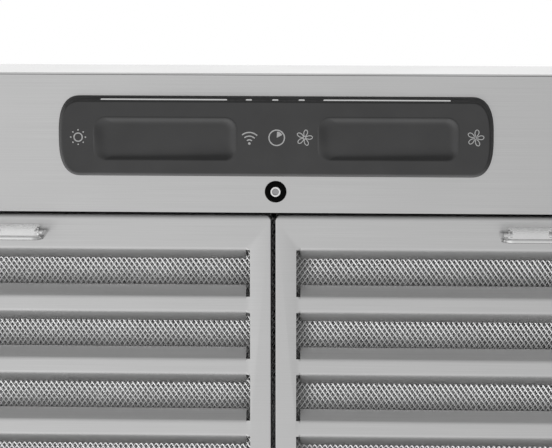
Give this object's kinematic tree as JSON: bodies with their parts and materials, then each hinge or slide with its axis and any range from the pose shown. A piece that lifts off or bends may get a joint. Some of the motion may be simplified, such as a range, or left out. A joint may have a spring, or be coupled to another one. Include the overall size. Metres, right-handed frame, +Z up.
{
  "type": "chimney range hood",
  "caption": "Wall chimney range hood with a sloped canopy, touch control pod, lamps, tilting slotted filters, blower, damper flaps and a telescoping chimney.",
  "frame": {"origin": "on the wall face, at the middle of the lower edge of the hood", "axes": "+X to the right seen from the front, -Y to the front, +Z up"},
  "size_m": [0.76, 0.5, 0.7093],
  "materials": {
    "stainless": "brushed",
    "galvanised_steel": "satin",
    "screw_steel": "satin",
    "wire_steel": "polished",
    "filter_aluminium": "satin",
    "cast_aluminium": "cast",
    "painted_motor": "satin",
    "motor_core": "plain",
    "fascia_plastic": "satin",
    "light_guide": "clear",
    "sensor_black": "satin",
    "sensor_silver": "satin",
    "sensor_window": "gloss",
    "lamp_lens": "frosted",
    "circuit_board": "solder mask",
    "capacitor_plastic": "plain",
    "lead_plastic": "plain"
  },
  "bodies": {
    "root": {"canopy_shell": "stainless", "underside_panel": "stainless", "lower_chimney_cover": "stainless", "lamp_bezels": "stainless", "canopy_back": "galvanised_steel", "hanging_plates": "galvanised_steel", "corner_brackets": "galvanised_steel", "filter_hooks": "galvanised_steel", "magnet_brackets": "galvanised_steel", "blower_scroll": "galvanised_steel", "inlet_rings": "galvanised_steel", "outlet_transition": "galvanised_steel", "duct_collar": "galvanised_steel", "junction_box": "galvanised_steel", "junction_box_cover": "galvanised_steel", "control_box": "galvanised_steel", "control_box_cover": "galvanised_steel", "panel_screws": "screw_steel", "fascia_screws": "screw_steel", "blower_screws": "screw_steel", "motor_screws": "screw_steel", "chimney_screws": "screw_steel", "damper_rod": "screw_steel", "lamp_modules": "cast_aluminium", "motor_end_cap": "cast_aluminium", "motor_casing": "painted_motor", "motor_bracket": "painted_motor", "motor_stator": "motor_core", "motor_bearings": "motor_core", "control_fascia": "fascia_plastic", "led_light_guides": "light_guide", "sensor_bezel": "sensor_black", "inlet_bushing": "sensor_black", "catch_magnets": "sensor_black", "sensor_can": "sensor_silver", "sensor_window": "sensor_window", "lamp_lenses": "lamp_lens", "touch_board": "circuit_board", "power_board": "circuit_board", "motor_capacitor": "capacitor_plastic", "wiring_harness": "lead_plastic"},
    "filter_left": {"filter_left_face": "stainless", "filter_left_mesh": "filter_aluminium", "filter_left_frame": "filter_aluminium", "filter_left_bracket": "wire_steel"},
    "filter_right": {"filter_right_face": "stainless", "filter_right_mesh": "filter_aluminium", "filter_right_frame": "filter_aluminium", "filter_right_bracket": "wire_steel"},
    "handle_left": {"filter_left_handle": "wire_steel"},
    "handle_right": {"filter_right_handle": "wire_steel"},
    "rotor": {"motor_rotor": "motor_core", "motor_shaft": "screw_steel", "impeller": "galvanised_steel", "impeller_rings": "galvanised_steel", "impeller_nut": "screw_steel"},
    "damper_front": {"damper_front_flap": "galvanised_steel"},
    "damper_rear": {"damper_rear_flap": "galvanised_steel"},
    "upper_cover": {"upper_chimney_cover": "stainless", "chimney_bracket": "galvanised_steel"}
  },
  "joints": [
    {"name": "filter_left_tilt", "type": "hinge", "parent": "root", "child": "filter_left", "pos_m": [-0.1827, -0.0499, 0.004], "axis": [1, 0, 0], "range_deg": [0, 60]},
    {"name": "handle_left_swing", "type": "hinge", "parent": "filter_left", "child": "handle_left", "pos_m": [-0.1827, -0.3872, -0.004], "axis": [1, 0, 0], "range_deg": [-85, 85]},
    {"name": "filter_right_tilt", "type": "hinge", "parent": "root", "child": "filter_right", "pos_m": [0.1791, -0.0499, 0.004], "axis": [1, 0, 0], "range_deg": [0, 60]},
    {"name": "handle_right_swing", "type": "hinge", "parent": "filter_right", "child": "handle_right", "pos_m": [0.1791, -0.3872, -0.004], "axis": [1, 0, 0], "range_deg": [-85, 85]},
    {"name": "impeller_spin", "type": "hinge", "parent": "root", "child": "rotor", "pos_m": [0, -0.21475, 0.15], "axis": [1, 0, 0], "continuous": true},
    {"name": "damper_front_open", "type": "hinge", "parent": "root", "child": "damper_front", "pos_m": [0, -0.135, 0.315], "axis": [-1, 0, 0], "range_deg": [0, 75]},
    {"name": "damper_rear_open", "type": "hinge", "parent": "root", "child": "damper_rear", "pos_m": [0, -0.135, 0.315], "axis": [1, 0, 0], "range_deg": [0, 75]},
    {"name": "upper_cover_slide", "type": "slide", "parent": "root", "child": "upper_cover", "axis": [0, 0, 1], "range_m": [0, 0.3]}
  ]
}
